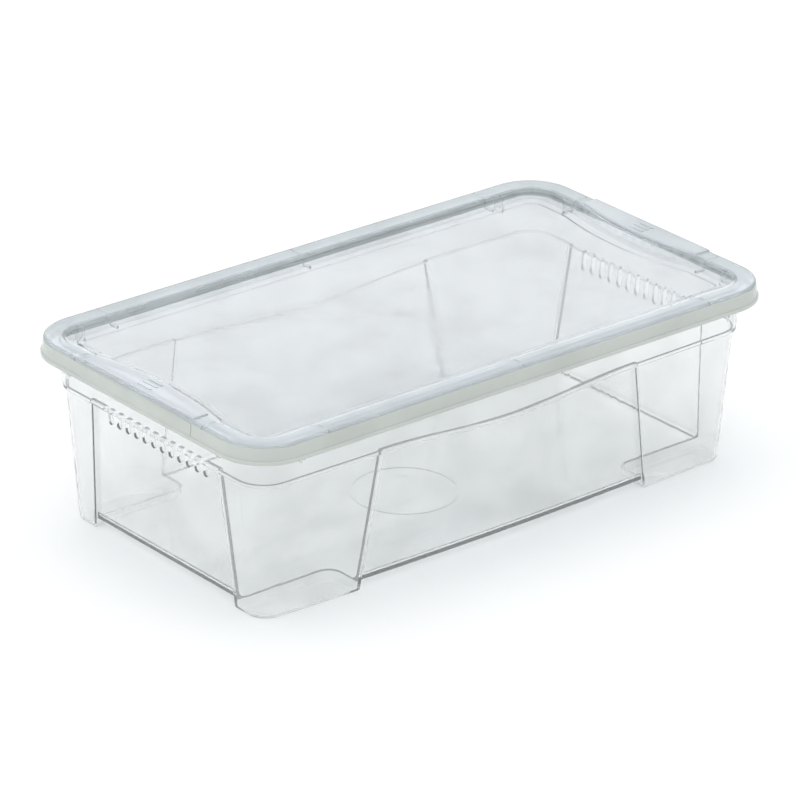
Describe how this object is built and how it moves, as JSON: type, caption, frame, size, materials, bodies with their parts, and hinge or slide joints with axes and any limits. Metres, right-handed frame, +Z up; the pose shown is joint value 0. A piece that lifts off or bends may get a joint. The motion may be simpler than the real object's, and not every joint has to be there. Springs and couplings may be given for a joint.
{
  "type": "shoe box",
  "caption": "Long low clear plastic storage box with four corner feet, sunken side panels, end vents and a push-on lid with a sunken top and end grip pads.",
  "frame": {"origin": "middle of the footprint, on the surface that the four feet stand on", "axes": "+X along the box's length, +Y across its width, +Z up, the way the lid lifts off"},
  "size_m": [0.34, 0.19, 0.1019],
  "materials": {
    "tub_plastic": "clear moulded polypropylene, smooth",
    "lid_plastic": "clear moulded polypropylene, slightly milky, smooth"
  },
  "bodies": {
    "tub": {"tub": "tub_plastic"},
    "lid": {"lid": "lid_plastic"}
  },
  "joints": [
    {"name": "lid_lift", "type": "slide", "parent": "tub", "child": "lid", "axis": [0, 0, 1], "range_m": [0, 0.12]}
  ]
}
